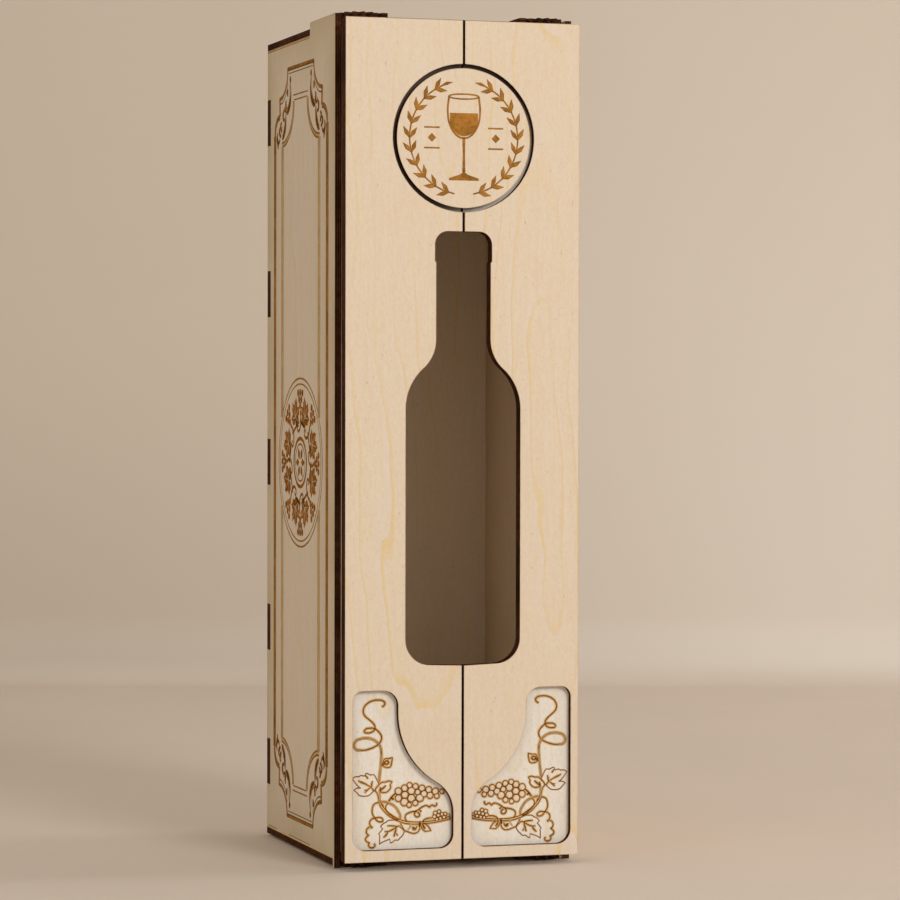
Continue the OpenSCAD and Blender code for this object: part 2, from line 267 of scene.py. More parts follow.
@cache
def birch_grain():
    """Growth lines, fibres and small flecks of rotary-cut birch veneer, with the grain along Z; Vector
    is measured from the middle of the sheet, which lies near the middle of its log."""
    group, t, given, out = new_group(
        "birch_grain",
        {"Vector": (VECTOR, None), "Seed": (FLOAT, 0.0)},
        ("Lines", "Pale", "Cloud", "Fibre", "Fleck", "Height"),
    )
    sheet, seed = given["Vector"], given["Seed"]
    sway = t.times(t.math("SINE", t.times(seed, 9.7)), 0.012)
    rise = t.times(t.math("SINE", t.times(seed, 5.3)), 0.09)
    off_axis = t.add("ShaderNodeCombineXYZ", {"X": sway, "Y": 0.0, "Z": rise})
    apart = t.add("ShaderNodeCombineXYZ", {"X": 0.0, "Y": 0.05, "Z": seed})
    log = t.vector("ADD", sheet, off_axis.outputs[0])
    veneer = t.vector("ADD", sheet, apart.outputs[0])
    # Log axis a little off the grain, so that its rings open into long arches on the face
    slant = t.scaled(log, (1.0, 1.0, 0.4), (0.30, 0.06, 0.0))
    slow = t.scaled(veneer, (1.0, 1.0, 0.30))
    wander = t.noise(slow, 34.0, 2.5, output="Color")
    pushed = t.scaled(t.vector("SUBTRACT", wander, (0.5, 0.5, 0.5)), (0.022, 0.022, 0.0))
    rings = t.add(
        "ShaderNodeTexWave",
        {"Vector": t.vector("ADD", slant, pushed), "Scale": 38.0, "Distortion": 0.0},
        wave_type="RINGS", rings_direction="Z", wave_profile="SAW",
    ).outputs["Fac"]
    along = t.scaled(veneer, (1.0, 1.0, 0.06))
    short = t.scaled(veneer, (1.0, 1.0, 0.45))
    shown = t.span(t.noise(slow, 26.0), 0.34, 0.60, 0.25, 1.0)
    threads = t.times(t.noise(along, 620.0, 3.0, 0.6, 0.3), 0.28)
    ripple = t.times(t.noise(short, 620.0, 2.0, 0.6, 0.8), 0.36)
    speckle = t.times(t.noise(short, 1500.0, 1.0), 0.36)
    fibre = t.plus(t.plus(threads, ripple), speckle)
    t.feed(out["Lines"], t.times(t.span(rings, 0.82, 0.98), shown))
    t.feed(out["Pale"], t.times(t.span(rings, 0.0, 0.30, 1.0, 0.0), shown))
    t.feed(out["Cloud"], t.span(t.noise(short, 60.0, 3.0, 0.55, 0.4), 0.3, 0.7))
    t.feed(out["Fibre"], t.span(fibre, 0.36, 0.64))
    t.feed(out["Fleck"], t.span(t.noise(short, 1100.0, 1.0, 0.4), 0.72, 0.82))
    t.feed(out["Height"], fibre)
    return group


@cache
def ply_layers():
    """Plies, glue lines and uneven burning on the cut edge of a sheet; Depth runs 0 to 1 across it."""
    group, t, given, out = new_group(
        "ply_layers", {"Depth": (FLOAT, 0.5), "Vector": (VECTOR, None)}, ("Warmth", "Height")
    )
    wave = t.math("SINE", t.times(given["Depth"], 6.0 * math.pi))
    plies = t.span(wave, -0.3, 0.8)
    streaks = t.noise(given["Vector"], 420.0, 3.0, 0.6)
    patches = t.noise(given["Vector"], 38.0, 2.0, 0.6)
    warmth = t.times(t.span(patches, 0.3, 0.62, 0.3), t.span(streaks, 0.25, 0.7, 0.25))
    t.feed(out["Warmth"], t.times(warmth, t.plus(t.times(plies, 0.85), 0.15)))
    t.feed(out["Height"], t.plus(plies, streaks))
    return group


@cache
def scorched_rim():
    """Mask of the narrow scorched rim that the laser leaves along a cut."""
    group, t, given, out = new_group(
        "scorched_rim", {"Width": (FLOAT, 0.5 * MM), "Vector": (VECTOR, None)}, ("Mask",)
    )
    rounded = t.add("ShaderNodeBevel", {"Radius": given["Width"]}, samples=4).outputs[0]
    flat = t.add("ShaderNodeNewGeometry").outputs["True Normal"]
    rim = t.math("SUBTRACT", 1.0, t.vector("DOT_PRODUCT", rounded, flat))
    uneven = t.noise(given["Vector"], 120.0, 3.0, 0.6)
    t.feed(out["Mask"], t.times(t.span(rim, 0.004, 0.2), t.span(uneven, 0.25, 0.65, 0.35, 1.0)))
    return group


@cache
def smoke_haze():
    """Mask of the yellow smoke haze that deepens towards the edges of a sheet; Half is half of its size."""
    group, t, given, out = new_group(
        "smoke_haze",
        {"Vector": (VECTOR, None), "Half": (VECTOR, (0.05, 0.05, 0.05)), "Reach": (FLOAT, 0.03)},
        ("Mask",),
    )
    left = t.split(t.vector("SUBTRACT", given["Half"], t.vector("ABSOLUTE", given["Vector"])))
    nearest = t.math("MINIMUM", t.math("MINIMUM", left["X"], left["Y"]), left["Z"])
    uneven = t.span(t.noise(given["Vector"], 30.0), 0.3, 0.7, 0.6, 1.0)
    near = t.math("SUBTRACT", 1.0, t.math("DIVIDE", nearest, given["Reach"]), clamp=True)
    t.feed(out["Mask"], t.times(t.math("POWER", near, 1.6), uneven))
    return group


@cache
def soot_ring():
    """Mask of a ring of painted shade in the gap round a disc, standing in for the shadow there and lighter
    at the disc's lower right, where light falls; Centre is the disc's middle and Width is half the width of
    the gap."""
    group, t, given, out = new_group(
        "soot_ring",
        {"Vector": (VECTOR, None), "Centre": (VECTOR, (0.0, 0.0, 0.0)),
         "Radius": (FLOAT, 0.03), "Width": (FLOAT, 0.002)},
        ("Mask",),
    )
    away = t.scaled(t.vector("SUBTRACT", given["Vector"], given["Centre"]), (1.0, 0.0, 1.0))
    off = t.math("ABSOLUTE", t.math("SUBTRACT", t.vector("LENGTH", away), given["Radius"]))
    # Painted shade is thinner at the disc's lower right, where the lean is lowest and light falls into the
    # gap
    lean = t.vector("DOT_PRODUCT", away, (-24.0, 0.0, 18.0))
    shade_strength = t.span(lean, -0.85, -0.2, 0.35, 1.0)
    t.feed(out["Mask"], t.times(t.math("LESS_THAN", off, given["Width"]), shade_strength))
    return group


@cache
def burn_marks():
    """Darker and lighter passes inside an engraved line."""
    group, t, given, out = new_group("burn_marks", {"Vector": (VECTOR, None)}, ("Tone", "Height"))
    passes = t.noise(given["Vector"], 700.0, 2.0, 0.6)
    patches = t.noise(given["Vector"], 130.0)
    t.feed(out["Tone"], t.span(t.plus(t.times(passes, 0.5), t.times(patches, 0.5)), 0.36, 0.64))
    t.feed(out["Height"], passes)
    return group


def rgba(colour, gain=1.0):
    return (*[channel * gain for channel in colour], 1.0)


# ---------------------------------------------------------------- materials


def new_material(name):
    """A material with only a Principled shader, its output and texture coordinates; returns the
    material, its Tree, the shader and the coordinates."""
    made = bpy.data.materials.new(name)
    made.use_nodes = True
    made.node_tree.nodes.clear()
    t = Tree(made.node_tree)
    shader = t.add("ShaderNodeBsdfPrincipled")
    t.add("ShaderNodeOutputMaterial", {"Surface": shader.outputs[0]})
    return made, t, shader, t.add("ShaderNodeTexCoord").outputs


AXES = "XYZ"
# Turn that lays the grain, which birch_grain draws along Z, along each axis
GRAIN_TURN = {"X": (0.0, math.pi / 2, 0.0), "Y": (math.pi / 2, 0.0, 0.0), "Z": (0.0, 0.0, 0.0)}
# Least share of a unit normal across a sheet at which a surface counts as its face, not its edge
FACE_SHARE = 0.7
# How far the ring of painted shade and the scorched rims cover the veneer
PAINTED_SHADE_SHARE = 0.93
RIM_SHARE = 0.75


def thin_axis(box):
    """The axis across a sheet's thickness."""
    size = box[1] - box[0]
    return AXES[min(range(3), key=lambda axis: size[axis])]


def plywood(name, box, grain, face, seed, haze=0.0, shade_ring=None):
    """Birch plywood sheet. box is its lowest and highest corner, grain the axis that its face grain
    follows, haze the strength of the smoke haze near its edges, and the last argument the centre,
    radius and half width of a ring of painted shade, which stands in for shadow."""
    look = bpy.context.scene.box_plywood
    low, high = box
    through = thin_axis(box)
    made, t, shader, place = new_material(name)
    here = place["Object"]
    sheet = t.vector("SUBTRACT", here, tuple((low + high) / 2))
    turned = t.scaled(sheet, (1.0, 1.0, 1.0), GRAIN_TURN[grain])
    veneer = t.group(birch_grain(), Vector=turned, Seed=seed)
    # Growth lines are fainter in the pale linings, which are the sheets that carry the ring of painted
    # shade
    depth = 0.5 if shade_ring else 1.0
    tone = rgba(face)
    for mark, share, colour in (
        ("Pale", 0.55 * depth, rgba(look.grain_pale)),
        ("Lines", 0.68 * depth, rgba(look.grain_gold)),
        ("Cloud", 0.10, rgba(look.grain_gold, 0.98)),
        ("Fibre", 0.25, rgba(look.grain_dark)),
        ("Fleck", 0.30, rgba(look.char_warm, 1.6)),
    ):
        tone = t.mix(t.times(veneer[mark], share), tone, colour)
    if haze:
        half = (high - low) / 2
        half[AXES.index(through)] = 1.0
        smoke = t.group(smoke_haze(), Vector=sheet, Half=tuple(half), Reach=look.haze_reach)
        tone = t.mix(t.times(smoke["Mask"], haze), tone, rgba(look.smoke))
    rim = t.group(scorched_rim(), Width=look.rim, Vector=here)
    tone = t.mix(t.times(rim["Mask"], RIM_SHARE), tone, rgba(look.char_warm, 1.6))
    facing = t.split(place["Normal"])[through]
    # Painted shade: a dark ring on the lining's front face in the gap round the medallion, where shadow
    # falls
    if shade_ring:
        centre, radius, width = shade_ring
        ring = t.group(soot_ring(), Vector=here, Centre=centre, Radius=radius, Width=width)
        on_front = t.math("LESS_THAN", facing, -FACE_SHARE)
        painted_shade = t.times(t.times(ring["Mask"], on_front), PAINTED_SHADE_SHARE)
        tone = t.mix(painted_shade, tone, rgba(look.char, 2.0))

    inward = t.math("SUBTRACT", t.split(here)[through], low[AXES.index(through)])
    plies = t.group(ply_layers(), Depth=t.math("DIVIDE", inward, look.ply), Vector=here)
    edge = t.mix(plies["Warmth"], rgba(look.char), rgba(look.char_warm))

    on_face = t.math("GREATER_THAN", t.math("ABSOLUTE", facing), FACE_SHARE)
    t.feed(shader.inputs["Base Color"], t.mix(on_face, edge, tone))
    t.feed(shader.inputs["Roughness"], t.span(on_face, 0.0, 1.0, 0.8, 0.58))
    shader.inputs["Specular IOR Level"].default_value = 0.03
    normal = t.add("ShaderNodeMix", {"Factor": on_face}, data_type="VECTOR")
    t.feed(normal.inputs[4], t.bump(plies["Height"], 0.6, 0.3 * MM))
    t.feed(normal.inputs[5], t.bump(veneer["Height"], 0.35, 0.12 * MM))
    t.feed(shader.inputs["Normal"], normal.outputs[1])
    return made


@cache
def dowel_wood():
    """Turned hardwood of the hinge pins and guide pins."""
    made, t, shader, place = new_material("dowel_wood")
    veneer = t.group(birch_grain(), Vector=place["Object"], Seed=3.7)
    tone = t.mix(veneer["Fibre"], rgba((0.60, 0.42, 0.25)), rgba((0.40, 0.24, 0.12)))
    t.feed(shader.inputs["Base Color"], tone)
    t.feed(shader.inputs["Roughness"], t.span(veneer["Fibre"], 0.0, 1.0, 0.5, 0.65))
    t.feed(shader.inputs["Normal"], t.bump(veneer["Height"], 0.4, 0.1 * MM))
    return made


@cache
def hardboard():
    """Thin brown fibre board of the washers."""
    made, t, shader, place = new_material("hardboard")
    fibre = t.noise(place["Object"], 900.0, 4.0, 0.7, 0.4)
    tone = t.mix(fibre, rgba((0.10, 0.058, 0.032)), rgba((0.20, 0.125, 0.072)))
    t.feed(shader.inputs["Base Color"], tone)
    t.feed(shader.inputs["Roughness"], t.span(fibre, 0.2, 0.8, 0.7, 0.9))
    t.feed(shader.inputs["Normal"], t.bump(fibre, 0.5, 0.1 * MM))
    return made


# Each engraved finish: its height against the relief, and the share by which its tone varies
FINISHES = {
    "glow": (0.55, 0.06),
    "amber": (1.0, 0.27),
    "russet": (1.0, 0.27),
    "deep": (1.0, 0.27),
    "honey": (1.2, 0.10),
    "umber": (1.4, 0.27),
    "bare": (1.7, 0.06),
}


@cache
def engraved(finish):
    """Wood burnt by the laser in uneven passes; a bare one shows the unburnt veneer."""
    scene = bpy.context.scene
    colour = scene.box_plywood.birch if finish == "bare" else getattr(scene.box_engraving, finish)
    spread = FINISHES[finish][1]
    made, t, shader, place = new_material(f"engraved_{finish}")
    burn = t.group(burn_marks(), Vector=place["Object"])
    tone = t.mix(burn["Tone"], rgba(colour, 1 - spread), rgba(colour, 1 + spread))
    t.feed(shader.inputs["Base Color"], tone)
    t.feed(shader.inputs["Roughness"], t.span(burn["Tone"], 0.0, 1.0, 0.85, 0.7))
    shader.inputs["Specular IOR Level"].default_value = 0.02
    t.feed(shader.inputs["Normal"], t.bump(burn["Height"], 0.4, 0.1 * MM))
    return made


# ---------------------------------------------------------------- panels and engraved drawing


class Panel:
    """A flat face to draw on, in millimetres: u and v run along it and its normal points off it."""

    def __init__(self, origin, u_axis, v_axis, normal):
        columns = [Vector(u_axis), Vector(v_axis), Vector(normal)]
        turn = Matrix([[column[row] for column in columns] for row in range(3)]).to_4x4()
        self.matrix = Matrix.Translation(Vector(origin)) @ turn @ Matrix.Scale(MM, 4)


def arc(u, v, ru, rv, start, end, steps=5):
    """Points on an ellipse about (u, v) from one angle to another, in degrees."""
    turns = [math.radians(start + (end - start) * step / steps) for step in range(steps + 1)]
    return [(u + ru * math.cos(turn), v + rv * math.sin(turn)) for turn in turns]


def circle(u, v, radius, count):
    return arc(u, v, radius, radius, 0, 360 - 360 / count, count - 1)


class Drawing:
    """Engraved strokes and filled shapes on a panel, each kept by its finish."""

    def __init__(self, line, finish="amber"):
        self.line = line
        self.finish = finish
        self.strokes = {}
        self.shapes = {}

    def stroke(self, points, finish=None, closed=False, width=1.0, corners=()):
        """A smooth line through points (u, v) or (u, v, w), where w scales the line's width there;
        corners gives the numbers of the points where it turns sharply."""
        whole = [(p[0], p[1], width * (p[2] if len(p) > 2 else 1.0)) for p in points]
        self.strokes.setdefault(finish or self.finish, []).append((whole, closed, corners))

    def band(self, points, width, rim):
        """A light band with a darker rim on both sides."""
        self.stroke(points, width=width)
        self.stroke(points, "honey", width=width - rim)

    def shape(self, points, finish="amber"):
        self.shapes.setdefault(finish, []).append(points)

    def ring(self, u, v, radius, finish=None, width=1.0):
        self.stroke(circle(u, v, radius, 8), finish, True, width)

    def add_glow(self, margin=0.6):
        """A golden scorch under every stroke of the drawing's own finish, wider by margin line widths."""
        soft = [
            ([(u, v, w + margin) for u, v, w in points], closed, corners)
            for points, closed, corners in self.strokes[self.finish]
        ]
        self.strokes.setdefault("glow", []).extend(soft)


def curve_mesh(name, curve):
    """The mesh of a curve, with the curve removed."""
    holder = bpy.data.objects.new(name, curve)
    bpy.context.scene.collection.objects.link(holder)
    bpy.context.view_layer.update()
    ready = holder.evaluated_get(bpy.context.evaluated_depsgraph_get())
    mesh = bpy.data.meshes.new_from_object(ready)
    bpy.data.objects.remove(holder)
    bpy.data.curves.remove(curve)
    return mesh


def take_mesh(work, mesh):
    """Adds a mesh to a bmesh and removes the mesh."""
    work.from_mesh(mesh)
    bpy.data.meshes.remove(mesh)


def give_mesh(name, work):
    """A mesh from a bmesh, which is freed."""
    mesh = bpy.data.meshes.new(name)
    work.to_mesh(mesh)
    work.free()
    return mesh


# How far a drawing reaches into its sheet, in millimetres
SUNK = -0.003


def stroke_mesh(name, strokes, line, height):
    """Flat-topped strips along the strokes, in millimetres."""
    curve = bpy.data.curves.new(name, "CURVE")
    curve.dimensions = "3D"
    curve.twist_mode = "Z_UP"
    curve.resolution_u = 5
    curve.bevel_depth = line / 2
    curve.bevel_resolution = 1
    curve.use_fill_caps = True
    for points, closed, corners in strokes:
        spline = curve.splines.new("BEZIER")
        spline.bezier_points.add(len(points) - 1)
        spline.use_cyclic_u = closed
        for number, (knot, (u, v, width)) in enumerate(zip(spline.bezier_points, points)):
            knot.co = (u, v, 0.0)
            knot.radius = width
            bend = "VECTOR" if number in corners else "AUTO"
            knot.handle_left_type = bend
            knot.handle_right_type = bend
    work = bmesh.new()
    take_mesh(work, curve_mesh(name, curve))
    bmesh.ops.remove_doubles(work, verts=work.verts, dist=0.001)
    # Round tube pressed flat: its upper half to the strip's height, its lower half just into the sheet
    for vert in work.verts:
        if abs(vert.co.z) > 0.01:
            vert.co.z = height if vert.co.z > 0 else SUNK
    return give_mesh(name, work)


def shape_mesh(name, shapes, height):
    """Thin plates from closed outlines, in millimetres, each filled on its own so that they may touch."""
    work = bmesh.new()
    for points in shapes:
        curve = bpy.data.curves.new(name, "CURVE")
        curve.dimensions = "2D"
        curve.fill_mode = "BOTH"
        curve.extrude = (height - SUNK) / 2
        spline = curve.splines.new("POLY")
        spline.points.add(len(points) - 1)
        spline.use_cyclic_u = True
        for knot, (u, v) in zip(spline.points, points):
            knot.co = (u, v, 0.0, 1.0)
        take_mesh(work, curve_mesh(name, curve))
    bmesh.ops.translate(work, vec=(0, 0, (height + SUNK) / 2), verts=work.verts)
    bmesh.ops.remove_doubles(work, verts=work.verts, dist=0.0005)
    return give_mesh(name, work)


def engrave(name, drawing, panel, body):
    """Lays a drawing on its panel, as one piece for each finish."""
    relief = bpy.context.scene.box_engraving.relief
    for finish in sorted(set(drawing.strokes) | set(drawing.shapes)):
        piece_name = f"{name}_{finish}"
        height = relief * FINISHES[finish][0]
        work = bmesh.new()
        if finish in drawing.strokes:
            strokes = drawing.strokes[finish]
            take_mesh(work, stroke_mesh(piece_name, strokes, drawing.line, height))
        if finish in drawing.shapes:
            take_mesh(work, shape_mesh(piece_name, drawing.shapes[finish], height))
        bmesh.ops.transform(work, matrix=panel.matrix, verts=work.verts)
        if panel.matrix.to_3x3().determinant() < 0:
            bmesh.ops.reverse_faces(work, faces=work.faces)
        mesh = give_mesh(piece_name, work)
        mesh.materials.append(engraved(finish))
        piece = bpy.data.objects.new(piece_name, mesh)
        bpy.context.scene.collection.objects.link(piece)
        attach(piece, body)


# ---------------------------------------------------------------- drawings


BUNCH = (
    (22.2, 25.9, 1.60), (25.1, 27.2, 1.50), (27.4, 28.4, 1.25), (30.2, 27.8, 1.30), (33.2, 26.9, 1.45),
    (36.4, 26.1, 1.45), (39.5, 25.3, 1.50), (42.6, 25.2, 1.05), (22.2, 22.8, 1.55), (25.2, 24.2, 1.60),
    (28.3, 25.9, 1.70), (31.2, 25.2, 1.30), (34.2, 24.4, 1.50), (37.0, 23.6, 1.45), (40.2, 23.2, 1.15),
    (25.0, 21.0, 1.75), (28.3, 22.6, 1.75), (32.2, 22.6, 1.75), (27.2, 19.6, 1.15), (30.1, 20.4, 1.25),
)
SMALL_BUNCH = (
    (39.5, 15.5, 0.95), (41.2, 16.1, 0.85), (39.1, 13.9, 0.90), (40.9, 14.5, 0.85), (42.6, 14.9, 0.80),
    (40.2, 12.7, 0.80), (41.9, 13.0, 0.80), (43.6, 13.5, 0.80), (44.2, 15.0, 0.75), (45.5, 14.4, 0.60),
    (45.5, 13.4, 0.55),
)
# Grapes closer than this, in millimetres between their edges, have a burnt mark where they meet
TOUCH = 0.6
# Grapes' bodies start this far inside their rings
RING_INSET = 0.28
# Vine's line against the plain line width
VINE_LINE = 1.35
# Vine window's lower outer corner from the door lining's own corner, in millimetres
WINDOW_EDGE = 3.6
WINDOW_FOOT = 5.1


def grapes(d, bunch, line):
    """Ringed grapes with a honey body and a pale light, and a burnt mark where two of them meet."""
    for u, v, radius in bunch:
        d.ring(u, v, radius, width=line)
        inside = radius - RING_INSET
        d.shape(circle(u, v, inside, 14), "honey")
        d.shape(circle(u - 0.05 * radius, v + 0.07 * radius, 0.84 * inside, 14), "bare")
    for number, (u, v, radius) in enumerate(bunch):
        for x, y, other in bunch[number + 1:]:
            if math.hypot(x - u, y - v) < radius + other + TOUCH:
                mark = [
                    (u + share * (x - u), v + share * (y - v), w)
                    for share, w in ((0.42, 0.6), (0.5, 1.0), (0.58, 0.6))
                ]
                d.stroke(mark, "umber", width=0.75)


def vine_drawing(line):
    """Grapevine for a vine window, from its lower outer corner, u towards the middle of the doors."""
    d = Drawing(line, "russet")
    # Curl, two loops and the stem down to the leaves
    d.stroke([
        (14.2, 64.0, 0.9), (15.3, 64.5), (15.8, 65.6), (15.0, 66.6), (12.6, 67.1), (9.6, 66.7),
        (7.3, 65.4), (6.0, 63.6), (5.8, 61.9), (6.6, 60.1), (8.4, 58.5), (10.2, 56.9), (11.2, 55.2),
        (11.0, 53.8), (9.6, 52.8), (7.9, 52.5), (6.3, 53.0), (6.9, 54.2), (8.8, 54.6), (10.9, 54.4),
        (12.9, 52.9), (14.2, 50.9), (14.1, 49.2), (12.9, 47.4), (10.3, 45.9), (7.4, 45.0),
        (4.6, 44.8, 0.9),
    ], width=0.95)
    d.band([
        (4.6, 44.8), (2.5, 45.3), (1.6, 46.9), (2.3, 48.9), (4.6, 50.0), (7.6, 50.2), (10.5, 49.4),
        (12.5, 47.9), (13.8, 45.9), (14.2, 43.6), (14.1, 40.0), (13.8, 36.6), (13.4, 33.4),
        (13.1, 30.2),
    ], 1.2, 0.62)
    d.stroke([(14.0, 44.6, 0.5), (14.1, 43.6), (14.1, 42.6, 0.5)], "umber", width=0.8)
    # Small leaf beside the stem
    d.stroke([
        (14.6, 37.4), (15.0, 39.4), (15.8, 40.6), (17.4, 40.7), (19.3, 41.2), (19.0, 38.8), (18.3, 37.0),
        (16.6, 36.8), (15.0, 37.3),
    ], width=0.75, corners=(4,))
    d.stroke([
        (14.6, 37.6), (15.4, 38.4, 1.3), (15.9, 39.4), (17.0, 39.7), (17.5, 38.8), (16.6, 38.3),
        (15.7, 38.6),
    ], width=1.1)
    # Large leaf, outer side
    d.stroke([
        (13.0, 29.5), (12.1, 31.4), (11.4, 32.8), (10.4, 33.8), (9.4, 33.6), (8.3, 34.0), (7.2, 34.4),
        (6.7, 33.9), (6.9, 33.3), (6.0, 33.3), (4.6, 33.5), (3.8, 33.0), (2.3, 33.1), (0.7, 32.3),
        (1.7, 30.8), (2.8, 29.4), (3.6, 28.6), (4.6, 27.9), (2.8, 27.9), (1.4, 27.1), (2.7, 26.0),
        (3.9, 24.7), (4.7, 24.4), (6.7, 24.2), (8.3, 24.5), (9.7, 25.5), (10.8, 26.6),
    ], "amber", width=0.66, corners=(8, 11, 13, 17, 19))
    for vein in (
        [
            (10.8, 26.4, 0.9), (9.3, 28.2, 0.6), (7.7, 29.2, 0.7), (6.4, 29.9, 0.9), (5.2, 30.4, 1.1),
            (3.4, 31.3, 0.5),
        ],
        [(9.7, 28.2, 0.7), (9.7, 29.4, 1.0), (10.1, 31.0, 0.6)],
        [(9.0, 28.0, 0.6), (7.7, 26.9, 0.8), (6.4, 25.7, 0.5)],
        [(7.9, 27.0, 0.6), (6.2, 26.8, 0.5)],
        [(6.9, 33.3, 0.7), (7.6, 32.6, 0.9), (7.9, 31.8, 0.6)],
    ):
        d.stroke(vein)
    # Leaf on the inner side
    d.stroke([
        (11.2, 26.7), (11.9, 27.9), (12.8, 28.8), (13.4, 29.5), (14.6, 30.2), (16.2, 30.3), (17.6, 30.7),
        (18.4, 30.6), (19.2, 30.2), (18.3, 29.0), (18.5, 27.8), (17.6, 26.4), (16.5, 25.7), (15.2, 25.6),
        (14.0, 25.9), (13.6, 26.6),
    ], width=0.8, corners=(8, 9))
    for vein in (
        [(16.4, 28.8, 0.6), (15.3, 27.8, 1.0), (13.8, 26.5, 0.7)],
        [(14.1, 28.1, 0.9), (13.5, 26.7, 0.7)],
    ):
        d.stroke(vein, width=1.15)
    # Double stem, bending towards the middle
    d.stroke([
        (11.0, 26.8, 1.2), (12.2, 25.4), (12.8, 23.6), (13.1, 21.4), (13.8, 19.4), (15.8, 16.9),
        (18.9, 14.2), (22.4, 12.4), (26.4, 11.2), (32.4, 10.9), (40.4, 11.5), (46.8, 12.7),
    ], width=0.7)
    d.stroke([
        (13.5, 27.4), (13.5, 24.4), (13.7, 21.6), (14.6, 19.8), (16.8, 17.2), (20.0, 14.8), (23.0, 13.1),
        (26.6, 12.2), (32.2, 11.8), (40.2, 12.4), (46.8, 13.5),
    ], width=0.7)
    d.stroke([(13.1, 26.6, 0.9), (13.3, 24.0), (13.3, 21.2), (14.2, 19.6, 0.7)], "honey", width=0.75)
    d.stroke([(32.6, 11.35, 0.6), (36.4, 11.4), (40.4, 11.95), (46.6, 13.1)], "honey", width=0.6)
    # Curly tendril below
    d.stroke([
        (13.3, 21.2), (11.9, 21.0), (10.8, 20.4), (10.1, 18.9), (9.9, 17.2), (10.4, 15.5), (11.1, 14.5),
        (12.1, 13.2), (13.5, 12.5), (14.9, 12.9), (14.7, 13.9), (13.5, 14.5), (11.9, 14.4), (10.5, 14.2),
        (9.3, 13.4), (8.8, 12.1), (9.2, 10.8), (10.2, 9.8, 1.5),
    ], width=0.85)
    d.stroke([
        (8.9, 10.4), (7.8, 9.8), (7.3, 8.5), (7.6, 7.3), (8.4, 6.7), (7.5, 6.0), (6.9, 5.1), (7.3, 4.0),
        (8.7, 3.3), (8.3, 2.6), (8.6, 1.6), (9.8, 1.0), (11.0, 1.5), (11.3, 2.3), (10.8, 2.9),
    ], width=0.85, corners=(4, 8))
    # Long oval loop over the stem
    d.band([
        (13.6, 21.3), (15.4, 21.5), (17.4, 20.9), (19.3, 20.1), (20.6, 19.1), (22.0, 17.2),
        (23.0, 15.1), (22.9, 13.4),
    ], 1.15, 0.62)
    d.stroke([
        (17.6, 20.7), (16.5, 19.8), (16.3, 18.2), (17.3, 16.4), (19.0, 14.9), (20.6, 13.7), (22.2, 12.9),
    ], width=0.7)
    d.stroke([(14.4, 20.6, 0.6), (14.9, 19.8, 1.3), (15.1, 19.2, 0.6)], width=0.8)
    # Bunches with their stalks and the wavy tendril between them
    d.stroke([(17.7, 21.6), (19.0, 23.4), (20.9, 25.0)], width=1.1)
    d.stroke([(18.6, 23.0), (19.6, 22.6), (19.9, 22.1, 0.7)], width=1.3)
    grapes(d, BUNCH, 0.68)
    d.stroke([
        (26.3, 12.2, 0.8), (25.4, 13.4), (25.5, 14.9), (26.6, 15.9), (28.6, 16.5), (30.8, 16.9),
        (32.1, 17.8), (33.5, 18.6), (35.0, 19.1), (35.9, 18.9), (36.7, 18.2), (37.9, 19.2),
        (39.3, 18.7), (40.1, 19.4), (40.0, 20.3, 0.8),
    ], width=0.9, corners=(10,))
    d.stroke([
        (30.9, 16.9), (29.9, 16.2), (29.8, 15.1), (30.9, 14.1), (32.0, 14.6), (31.9, 15.6), (31.1, 16.3),
    ], width=0.95)
    d.stroke([(32.1, 17.6, 0.7), (32.3, 16.9), (33.1, 16.4, 1.1)], width=0.9)
    d.stroke([(33.6, 11.4), (34.0, 12.4), (35.4, 13.2), (37.9, 13.5)], width=0.85)
    grapes(d, SMALL_BUNCH, 0.62)
    # Large veined leaf at the foot
    d.stroke([
        (21.9, 12.9), (20.3, 13.1), (18.7, 13.0), (17.6, 13.0), (16.5, 12.3), (15.1, 11.6),
        (14.2, 10.8), (13.9, 10.2), (14.9, 9.4), (14.0, 8.3), (13.0, 7.0), (13.5, 6.4), (13.4, 4.6),
        (13.4, 2.4), (14.9, 3.4), (16.5, 4.0), (18.2, 4.6), (18.4, 2.8), (19.5, 3.2), (20.6, 4.0),
        (22.0, 4.0), (22.9, 4.9), (24.1, 6.0), (24.9, 7.7), (24.3, 9.6), (22.9, 11.6),
    ], "amber", width=0.66, corners=(7, 8, 10, 11, 13, 16, 17))
    for vein in (
        [(22.6, 10.6, 0.7), (20.6, 9.5, 0.8), (19.0, 8.6, 0.9), (17.4, 8.1, 0.7), (15.7, 8.0, 0.7)],
        [(21.4, 10.2, 0.7), (19.5, 10.5, 0.9), (16.9, 10.6, 0.6)],
        [(17.3, 7.8, 0.7), (16.3, 6.4, 1.1), (15.1, 5.3, 0.5)],
        [(21.2, 9.6, 0.7), (20.8, 7.9, 1.1), (20.1, 5.6, 0.7)],
        [(21.2, 7.1, 0.6), (22.0, 5.9, 0.5)],
    ):
        d.stroke(vein)
    # Leaflets on the inner side
    d.stroke([
        (22.6, 10.4), (24.2, 9.0), (25.4, 8.0), (26.4, 7.7), (27.6, 7.2), (29.4, 6.8), (30.9, 7.1),
        (31.9, 8.2), (32.2, 9.8), (31.6, 11.2),
    ], width=0.72)
    d.stroke([(28.1, 11.5, 1.4), (27.7, 9.8, 1.2), (26.7, 8.4, 0.8)], "honey", width=0.9)
    d.stroke([(28.6, 9.8, 0.6), (29.4, 9.0, 2.0), (29.8, 8.6, 1.2), (31.0, 10.2, 0.5)])
    d.stroke([(31.8, 9.6), (32.2, 11.0, 1.6), (32.2, 12.2, 0.7)], width=0.9)
    d.stroke([
        (32.6, 10.4), (33.4, 8.7), (34.7, 7.5), (37.4, 7.6), (36.4, 9.4), (35.0, 10.7), (33.6, 11.2),
    ], width=0.8, corners=(2, 3))
    d.stroke([(33.5, 10.8, 0.8), (34.0, 9.6, 1.3), (34.8, 8.5, 0.8)], width=1.1)
    d.add_glow()
    return d


